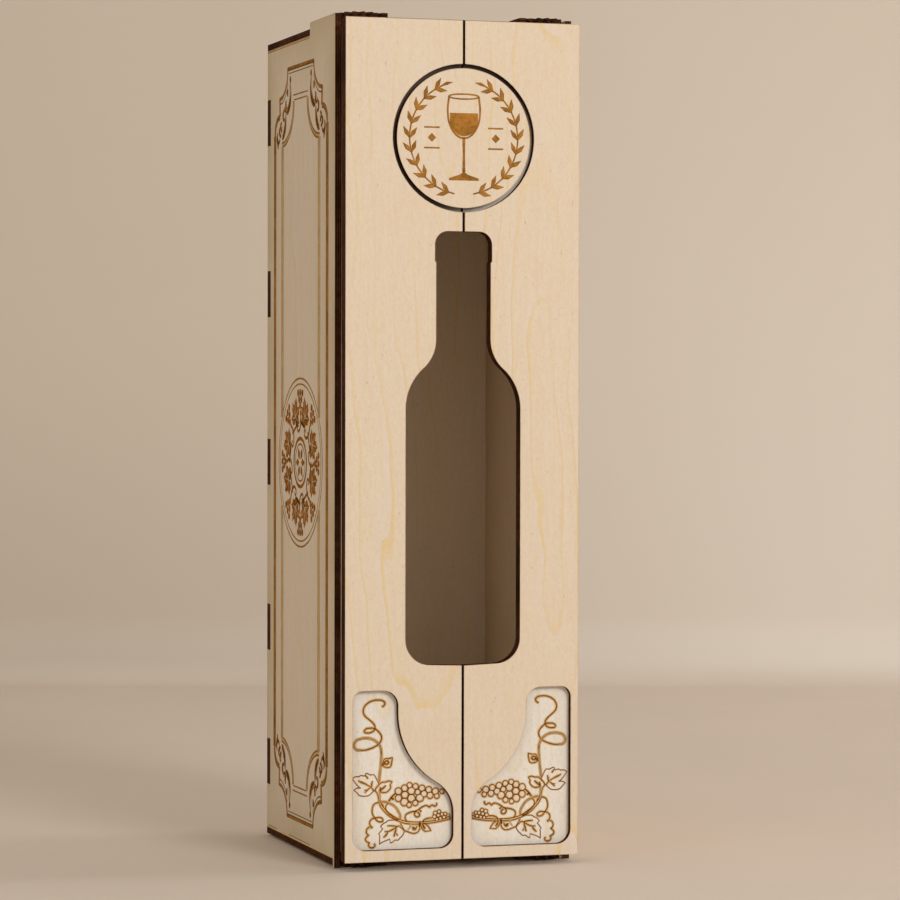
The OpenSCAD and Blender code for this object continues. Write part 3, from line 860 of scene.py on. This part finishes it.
# The sides' frame, as distances from the middle of the side and from the frame's end bar
BAR_HALF = 23.2
STEP_HALF = 38.0
FRAME_HALF = 47.0
STEP_DROP = 13.0
STRAIGHT_DROP = 30.0
INNER_HALF = 33.0
INNER_DROP = 35.4
# Its middle lies this far towards the door from the middle of the side
FRAME_SHIFT = 0.7
# Its bars from the doors' top and bottom edge, and its medallion's middle from their bottom edge
TOP_BAR_DOWN = 15.0
FOOT_BAR_UP = 10.1
WREATH_UP = 177.0
WREATH_RADIUS = 39.1
LEAF_SIZE = 9.8


def frame_end(d, middle, bar, way):
    """One end of the sides' frame; way is -1 where the frame runs down from its bar and 1 where up."""

    def at(s, t, w=1.0):
        return (middle + side * s, bar + way * t, w)

    def line(points, width, finish="amber"):
        d.stroke([at(*p) for p in points], finish, width=width)

    def spray(*points):
        line(points, 1.7, "umber")
        line(points, 2.5)

    for side in (-1, 1):
        notch = arc(STEP_HALF, -0.4, STEP_HALF - BAR_HALF, STEP_DROP + 0.4, 180, 90)
        swell = arc(STEP_HALF - 0.4, STRAIGHT_DROP, FRAME_HALF - STEP_HALF + 0.4, 8.6, -90, 0)
        line(notch, 2.8)
        line([
            (STEP_HALF, STEP_DROP - 0.6), (STEP_HALF - 0.1, 17.0), (STEP_HALF - 0.4, STRAIGHT_DROP - 8.8),
        ], 4.0)
        line(swell, 4.0)
        line([(s - 0.6, t + 2.4) for s, t in notch[1:]], 0.9, "umber")
        line([(s + 1.0, t - 0.9) for s, t in swell], 0.7, "umber")
        inner = arc(INNER_HALF + 0.8, 15.6, 21.35, 19.3, 180, 90, 6)
        d.band([at(*p) for p in inner], 4.2, 1.9)
        # Leaf scrolls between the outer and the inner line
        spray((18.4, 3.6, 0.9), (18.7, 5.2, 1.9), (19.0, 7.0, 0.6))
        spray((19.0, 7.0, 0.6), (17.9, 10.4, 0.8), (18.2, 14.0, 1.5), (20.4, 17.4, 2.3), (23.8, 19.8, 1.9),
              (26.4, 20.4, 0.7))
        spray((23.1, 9.2, 0.6), (23.9, 10.9, 1.9), (23.3, 12.8, 0.6))
        spray((26.0, 14.4, 0.6), (27.0, 15.9, 1.5), (26.6, 17.7, 1.7), (28.2, 19.2, 1.1), (29.6, 18.0, 0.8),
              (29.0, 17.2, 0.6))
        spray((30.4, 18.6, 0.7), (31.8, 20.2, 1.6), (31.8, 22.4, 1.4), (30.2, 23.4, 0.9), (29.4, 22.4, 0.6))
        spray((27.2, 20.8, 0.7), (27.2, 24.0, 1.5), (28.8, 27.8, 2.4), (31.4, 30.8, 1.9), (33.6, 32.2, 0.7))
        spray((34.6, 24.0, 0.6), (36.4, 25.4, 1.5), (35.8, 27.4, 1.5), (34.0, 28.4, 0.8))
        spray((37.8, 26.2, 0.6), (39.0, 28.2, 1.6), (37.6, 29.9, 1.5), (35.6, 30.8, 0.7))
        spray((42.0, 28.4, 0.6), (43.0, 31.0, 1.6), (41.6, 33.2, 1.7), (39.0, 33.0, 1.0), (37.8, 31.4, 0.6))
        spray((42.6, 31.4, 0.8), (41.9, 34.0, 1.7), (40.9, 36.4, 0.6))
        # Amber edge that follows the scrolls
        line([(20.2, 7.4, 0.6), (20.0, 11.0), (20.4, 14.2), (22.4, 17.0), (25.4, 18.4, 0.6)], 1.1)
        line([(29.0, 22.4, 0.6), (29.2, 25.2), (30.8, 28.6), (33.6, 30.4, 0.6)], 1.1)
        line([(33.4, 25.8, 0.6), (34.6, 26.8), (34.2, 29.6, 0.6)], 1.1)
    # End bar, its dark edges, and the pair of thin bars inside the frame
    for half, drop, width, finish in (
        (BAR_HALF + 0.5, 0.0, 2.8, "amber"),
        (BAR_HALF - 0.4, 0.5, 0.6, "umber"),
        (BAR_HALF - 1.6, 2.1, 0.6, "umber"),
        (13.2, 12.9, 1.0, "amber"),
        (11.8, 15.2, 1.0, "amber"),
    ):
        v = bar + way * drop
        d.stroke([(middle - half, v), (middle + half, v)], finish, width=width)


# Half of a vine leaf's edge as seen from its stalk: degrees off the tip, and share of the leaf's size
LEAF_EDGE = (
    (0, 1.00), (9, 0.80), (17, 0.82), (26, 0.60), (34, 0.66), (45, 0.90), (56, 0.72), (66, 0.74),
    (78, 0.52), (90, 0.58), (104, 0.76), (118, 0.58), (134, 0.60), (152, 0.46), (168, 0.34), (176, 0.14),
)


def spot(u, v, reach, turn):
    """The point at a distance and an angle, in degrees, from (u, v)."""
    away = math.radians(turn)
    return u + reach * math.cos(away), v + reach * math.sin(away)


def vine_leaf(d, u, v, size, turn):
    """Filled leaf about (u, v) with its tip along turn, in degrees, and bare veins over it."""
    edge = [*LEAF_EDGE, *[(-angle, reach) for angle, reach in reversed(LEAF_EDGE[1:])]]
    d.shape([spot(u, v, size * reach, turn + angle) for angle, reach in edge], "deep")
    for angle, reach in ((0, 0.80), (45, 0.66), (-45, 0.66), (104, 0.52), (-104, 0.52)):
        d.stroke([(u, v, 1.0), (*spot(u, v, size * reach, turn + angle), 0.4)], "bare", width=0.7)


def side_wreath(d, u, v, leaves):
    """Round medallion on a side: double ring and a wreath of vine leaves, berries and tendrils."""
    for radius, width in ((WREATH_RADIUS, 1.35), (WREATH_RADIUS - 2.6, 1.15)):
        d.stroke(circle(u, v, radius, 24), closed=True, width=width)
    step = 360 / leaves
    for leaf in range(leaves):
        turn = step * (leaf + 0.5)
        lean = 30 if leaf % 2 else -30
        vine_leaf(d, *spot(u, v, 22.6, turn), LEAF_SIZE, turn + lean)
        stem = [
            (*spot(u, v, reach, turn + lag), 1.0)
            for reach, lag in ((19.6, -24), (18.2, -8), (19.0, 4), (22.6, 0))
        ]
        d.stroke(stem, "deep", width=2.3)
        between = turn + step / 2
        for count, reach in ((3, 32.6), (2, 29.4), (1, 26.4)):
            for place in range(count):
                lag = (place - (count - 1) / 2) * 215 / reach
                d.shape(circle(*spot(u, v, reach, between + lag), 1.75, 14), "deep")
        curl = [
            (*spot(u, v, reach, between + lag), width)
            for reach, lag, width in (
                (24.4, 0, 1.5), (21.0, 3, 1.4), (17.4, 2, 1.3), (15.0, -7, 1.2), (15.6, -17, 1.1),
                (17.6, -16, 1.0), (17.2, -9, 0.8),
            )
        ]
        d.stroke(curl, "deep", width=1.8)
    for radius, width in ((11.2, 2.6), (8.6, 1.2)):
        d.ring(u, v, radius, "deep", width=width)
    for petal in range(6):
        points = [(*spot(u, v, reach, 60 * petal), w) for reach, w in ((1.8, 0.7), (4.4, 5.8), (7.6, 0.6))]
        d.stroke(points, "deep")


def side_drawing(line, width, roof, base, top_bar, foot_bar, wreath_v, leaves):
    """Scrolled frame and medallion of a side, u from the side's front edge and v up from the table."""
    d = Drawing(line)
    middle = width / 2 - FRAME_SHIFT
    frame_end(d, middle, top_bar, -1)
    frame_end(d, middle, foot_bar, 1)
    low, high = foot_bar + STRAIGHT_DROP, top_bar - STRAIGHT_DROP
    gap = math.sqrt(WREATH_RADIUS**2 - INNER_HALF**2)
    for side in (-1, 1):
        u = middle + side * FRAME_HALF
        d.stroke([(u, low), (u, high)], width=6.5)
        u = middle + side * INNER_HALF
        d.stroke([(u, foot_bar + INNER_DROP), (u, wreath_v - gap)], "honey", width=6.2)
        d.stroke([(u, wreath_v + gap), (u, top_bar - INNER_DROP)], "honey", width=6.2)
    side_wreath(d, middle, wreath_v, leaves)
    # Scorched lines along the roof sheet and the base, with short marks over the base
    d.stroke([(44.0, roof - 0.5), (width - 0.6, roof - 0.5)], "honey", width=1.3)
    d.stroke([(44.0, roof - 1.0), (width - 0.6, roof - 1.0)], width=0.45)
    d.stroke([(3.0, base + 0.45), (width - 1.0, base + 0.45)], "glow", width=1.1)
    for start, end in ((42.0, 80.0), (103.0, 118.0)):
        d.stroke([(start, base + 1.2), (end, base + 1.2)], width=0.56)
    return d


# Radius of the round medallion's two leaf branches, in millimetres
BRANCH = 25.4


def medallion_drawing(line):
    """Leaf wreath round a stemmed glass, about the medallion's centre."""
    d = Drawing(line)

    def spoke(reach, turn, width=1.0):
        u, v = spot(0, 0, reach, turn)
        return side * u, v, width

    for side in (-1, 1):
        d.stroke([(side * u, v) for u, v in arc(0, 0, BRANCH, BRANCH, -80, 66, 10)], width=1.1)
        for step in range(10):
            turn = -74 + 14.6 * step
            for reach, lag in ((28.7, 10.5), (22.4, 12.0)):
                stalk = spoke(BRANCH, turn, 0.7)
                tip = spoke(reach, turn + lag, 0.4)
                d.stroke([stalk, ((stalk[0] + tip[0]) / 2, (stalk[1] + tip[1]) / 2, 3.1), tip])
        d.stroke([spoke(BRANCH, 66), spoke(25.6, 72, 2.2), spoke(BRANCH, 78, 0.5)])
        for height in (4.6, -4.6):
            d.stroke([(side * 11.4, height), (side * 18.6, height)], width=1.1)
        d.shape([(side * 17.0, 0.0), (side * 15.0, 2.0), (side * 13.0, 0.0), (side * 15.0, -2.0)])
    # Stemmed glass with wine in it
    bowl = [(-7.0, 18.6), (-7.6, 11.6), (-6.2, 5.0), (-2.8, 0.8), (0.0, 0.0)]
    bowl += [(-u, v) for u, v in reversed(bowl[:-1])]
    d.stroke(bowl, width=1.4)
    d.stroke(arc(0, 18.6, 7.0, 1.1, 0, 330, 11), closed=True, width=1.1)
    d.shape([(-6.6, 11.2), *arc(0, 9.0, 6.7, 8.2, 188, 352, 18), (6.6, 11.2)])
    d.stroke([(0.0, 0.4, 2.2), (0.0, -7.0, 1.6), (0.0, -15.2, 2.2)])
    d.shape([
        (-7.0, -18.0), (-2.0, -16.4), (0.0, -15.0), (2.0, -16.4), (7.0, -18.0), (7.0, -19.0), (-7.0, -19.0),
    ])
    return d


# ---------------------------------------------------------------- operators


# Middle and half width of the gap between the medallion and the recess round it, where the linings get a
# ring of painted shade
GAP_RADIUS = 32.2 * MM
GAP_HALF = 1.1 * MM


def is_small(name):
    return "pin" in name or "washer" in name


class BOX_OT_plywood(bpy.types.Operator):
    """Give every plywood sheet its veneer, grain direction and burnt edges"""

    bl_idname = "box.plywood"
    bl_label = "Plywood sheets"

    def execute(self, context):
        look = context.scene.box_plywood
        disc = sum(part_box("medallion"), Vector()) / 2
        for number, (name, node) in enumerate(sorted(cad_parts.items())):
            if is_small(name):
                continue
            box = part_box(name)
            grain = "X" if thin_axis(box) == "Z" else "Z"
            haze = look.side_haze if name.endswith("_side") else 0.0
            face, shade_ring = look.birch, None
            # Door linings: pale veneer, and a ring of painted shade in the gap round the medallion
            if name.endswith("door_back"):
                face, shade_ring = look.pale_birch, (disc, GAP_RADIUS, GAP_HALF)
            node.data.materials.clear()
            node.data.materials.append(plywood(name, box, grain, face, 0.37 * number, haze, shade_ring))
        return {"FINISHED"}


class BOX_OT_small_parts(bpy.types.Operator):
    """Give the pins and washers their wood and fibre board"""

    bl_idname = "box.small_parts"
    bl_label = "Pins and washers"

    def execute(self, context):
        for name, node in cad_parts.items():
            if is_small(name):
                node.data.materials.clear()
                node.data.materials.append(dowel_wood() if "pin" in name else hardboard())
        return {"FINISHED"}


class BOX_OT_vine_engraving(bpy.types.Operator):
    """Engrave the grapevine behind each vine window"""

    bl_idname = "box.vine_engraving"
    bl_label = "Vine engraving"

    def execute(self, context):
        drawing = vine_drawing(VINE_LINE * context.scene.box_engraving.line)
        for side, way in (("left", 1), ("right", -1)):
            low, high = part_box(f"{side}_door_back")
            outer = low.x if way > 0 else high.x
            origin = (outer + way * WINDOW_EDGE * MM, low.y, low.z + WINDOW_FOOT * MM)
            panel = Panel(origin, (way, 0, 0), (0, 0, 1), (0, -1, 0))
            engrave(f"{side}_vine_engraving", drawing, panel, f"{side}_door")
        return {"FINISHED"}


class BOX_OT_medallion_engraving(bpy.types.Operator):
    """Engrave the leaf wreath and the glass on the medallion"""

    bl_idname = "box.medallion_engraving"
    bl_label = "Medallion engraving"

    def execute(self, context):
        low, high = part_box("medallion")
        middle = (low + high) / 2
        panel = Panel((middle.x, low.y, middle.z), (1, 0, 0), (0, 0, 1), (0, -1, 0))
        drawing = medallion_drawing(context.scene.box_engraving.line)
        engrave("medallion_engraving", drawing, panel, "left_door")
        return {"FINISHED"}


class BOX_OT_side_engraving(bpy.types.Operator):
    """Engrave the scrolled frame and the vine wreath on both sides"""

    bl_idname = "box.side_engraving"
    bl_label = "Side engraving"

    def execute(self, context):
        look = context.scene.box_engraving
        low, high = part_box("left_side")
        door_low, door_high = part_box("left_door_front")
        drawing = side_drawing(
            look.line,
            width=(high.y - low.y) / MM,
            roof=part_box("top_plate")[0].z / MM,
            base=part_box("base_plate")[1].z / MM,
            top_bar=door_high.z / MM - TOP_BAR_DOWN,
            foot_bar=door_low.z / MM + FOOT_BAR_UP,
            wreath_v=door_low.z / MM + WREATH_UP,
            leaves=look.wreath_leaves,
        )
        for side, way in (("left", -1), ("right", 1)):
            low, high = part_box(f"{side}_side")
            face = low.x if way < 0 else high.x
            panel = Panel((face, low.y, 0.0), (0, 1, 0), (0, 0, 1), (way, 0, 0))
            engrave(f"{side}_side_engraving", drawing, panel, "case")
        return {"FINISHED"}


class BOX_OT_stage(bpy.types.Operator):
    """Set up the floor, the backdrop, the lights and the camera"""

    bl_idname = "box.stage"
    bl_label = "Studio"

    def execute(self, context):
        look = context.scene.box_stage
        context.scene.view_settings.view_transform = "Standard"
        make_camera(look.lens)
        make_backdrop(look)
        make_lights(look)
        return {"FINISHED"}


# The camera's place, and its turn to the left, tilt and roll, in radians
CAMERA_PLACE = (-0.46627, -1.53845, 0.21493)
CAMERA_TURN = -0.3032
CAMERA_TILT = -0.0175
CAMERA_ROLL = 0.0019


def make_camera(lens):
    """Camera a little above the middle of the box, turned to show the front and the left side."""
    data = bpy.data.cameras.new("camera")
    data.lens = lens
    data.clip_end = 20.0
    camera = bpy.data.objects.new("camera", data)
    bpy.context.scene.collection.objects.link(camera)
    camera.matrix_world = (
        Matrix.Translation(CAMERA_PLACE)
        @ Matrix.Rotation(CAMERA_TURN, 4, "Z")
        @ Matrix.Rotation(math.pi / 2 + CAMERA_TILT, 4, "X")
        @ Matrix.Rotation(CAMERA_ROLL, 4, "Z")
    )
    bpy.context.scene.camera = camera


def sweep_material(look):
    """Matt floor with a faint mottle that passes into a wall with painted light and shade: brighter low
    down on one side, faint painted light streaks, and painted shade at the wall's foot on the other side.
    """
    made, t, shader, place = new_material("studio_sweep")
    where = t.split(place["Object"])
    x, z = where["X"], where["Z"]
    cloud = t.noise(place["Object"], 9.0, 4.0, 0.6)
    floor = t.mix(cloud, rgba(look.floor_tone, 0.95), rgba(look.floor_tone, 1.04))
    # Painted light: a pool of light low on one side and faint streaks of light over the wall
    bands = t.noise(t.scaled(place["Object"], (1.0, 1.0, 0.12), (0.0, 0.75, 0.0)), 3.4, 1.0, 0.4)
    side = t.times(t.span(x, 0.0, 0.62), t.span(z, 0.1, 0.6, 1.0, 0.2))
    bright = t.plus(t.times(side, 0.8), t.times(t.span(bands, 0.35, 0.65), 0.2))
    # Painted shade at the foot of the wall, away from the lit side
    dim = t.times(t.span(z, 0.0, 0.28, 0.22, 0.0), t.math("SUBTRACT", 1.0, side))
    wall = t.mix(bright, rgba(look.wall_tone), rgba(look.wall_bright))
    wall = t.mix(dim, wall, rgba(look.wall_tone, 0.45))
    t.feed(shader.inputs["Base Color"], t.mix(t.span(z, 0.0, 0.02), floor, wall))
    t.feed(shader.inputs["Roughness"], t.span(cloud, 0.2, 0.8, 0.6, 0.7))
    # Clear from the back, so that the box can be seen from behind and from below
    seen = t.add("ShaderNodeNewGeometry")
    clear = t.add("ShaderNodeBsdfTransparent")
    one_sided = t.add(
        "ShaderNodeMixShader", {0: seen.outputs["Backfacing"], 1: shader.outputs[0], 2: clear.outputs[0]}
    )
    t.feed(made.node_tree.nodes["Material Output"].inputs["Surface"], one_sided.outputs[0])
    return made


def make_backdrop(look):
    """Floor and a wall behind it, square to the camera and joined by a tight curve."""
    wall_y, rise, half, bend = 0.92, 2.6, 3.0, 0.05
    work = bmesh.new()
    curve = arc(wall_y - bend, bend, bend, bend, -82.5, 0, 11)
    profile = [(-3.4, 0.0), (wall_y - bend, 0.0), *curve, (wall_y, rise)]
    line = [work.verts.new((-half, y, z)) for y, z in profile]
    edges = [work.edges.new(pair) for pair in zip(line, line[1:])]
    swept = bmesh.ops.extrude_edge_only(work, edges=edges)
    moved = [part for part in swept["geom"] if isinstance(part, bmesh.types.BMVert)]
    bmesh.ops.translate(work, vec=(2 * half, 0, 0), verts=moved)
    # The floor goes on behind the wall
    corners = ((-half, wall_y, 0), (half, wall_y, 0), (half, 4, 0), (-half, 4, 0))
    work.faces.new([work.verts.new(corner) for corner in corners])
    work.normal_update()
    bmesh.ops.reverse_faces(work, faces=[face for face in work.faces if face.normal.z - face.normal.y < 0])
    for face in work.faces:
        face.smooth = True
    bmesh.ops.rotate(work, matrix=Matrix.Rotation(CAMERA_TURN, 4, "Z"), verts=work.verts)
    mesh = give_mesh("backdrop", work)
    mesh.materials.append(sweep_material(look))
    backdrop = bpy.data.objects.new("backdrop", mesh)
    bpy.context.scene.collection.objects.link(backdrop)


# Lamps: place, size, setting that holds the power, and colour
LAMPS = {
    "key": ((0.55, -1.9, 1.0), 0.7, "key_power", (1.0, 0.97, 0.94)),
    "window": ((2.2, -0.15, 0.75), 0.5, "window_power", (1.0, 0.97, 0.94)),
    "fill": ((-1.6, -0.9, 0.58), 1.4, "fill_power", (0.96, 0.98, 0.97)),
}
LAMP_AIM = Vector((0.0, 0.0, 0.19))


def make_lights(look):
    """Soft key from the front right, a lamp far out on the right, a weak fill and an even warm surround."""
    for name, (place, size, power, colour) in LAMPS.items():
        data = bpy.data.lights.new(name, "AREA")
        data.shape = "DISK"
        data.size = size
        data.energy = getattr(look, power)
        data.color = colour
        lamp = bpy.data.objects.new(name, data)
        lamp.location = place
        lamp.rotation_euler = (LAMP_AIM - Vector(place)).to_track_quat("-Z", "Y").to_euler()
        bpy.context.scene.collection.objects.link(lamp)
    world = bpy.data.worlds.new("surround")
    world.use_nodes = True
    surround = world.node_tree.nodes["Background"]
    surround.inputs["Color"].default_value = (0.98, 0.957, 0.893, 1.0)
    surround.inputs["Strength"].default_value = 0.47
    bpy.context.scene.world = world


class BOX_PT_panel(bpy.types.Panel):
    """Buttons and settings for the bottle box"""

    bl_label = "Bottle Box"
    bl_idname = "BOX_PT_panel"
    bl_space_type = "VIEW_3D"
    bl_region_type = "UI"
    bl_category = "Bottle Box"

    def draw(self, context):
        for settings in ("box_plywood", "box_engraving", "box_stage"):
            data = getattr(context.scene, settings)
            column = self.layout.column()
            for name in data.bl_rna.properties.keys():
                if name not in ("rna_type", "name"):
                    column.prop(data, name)
        for operator in OPERATORS:
            self.layout.operator(operator.bl_idname)


OPERATORS = (
    BOX_OT_stage,
    BOX_OT_plywood,
    BOX_OT_small_parts,
    BOX_OT_vine_engraving,
    BOX_OT_medallion_engraving,
    BOX_OT_side_engraving,
)
SETTINGS = {"box_plywood": PlywoodSettings, "box_engraving": EngravingSettings, "box_stage": StageSettings}


def register():
    for kind in (*SETTINGS.values(), *OPERATORS, BOX_PT_panel):
        bpy.utils.register_class(kind)
    for name, kind in SETTINGS.items():
        setattr(bpy.types.Scene, name, PointerProperty(type=kind))


def unregister():
    for name in SETTINGS:
        delattr(bpy.types.Scene, name)
    for kind in reversed((*SETTINGS.values(), *OPERATORS, BOX_PT_panel)):
        bpy.utils.unregister_class(kind)


def main():
    register()
    bpy.ops.box.stage()
    bpy.ops.box.plywood()
    bpy.ops.box.small_parts()
    bpy.ops.box.vine_engraving()
    bpy.ops.box.medallion_engraving()
    bpy.ops.box.side_engraving()


if __name__ == "__main__":
    main()
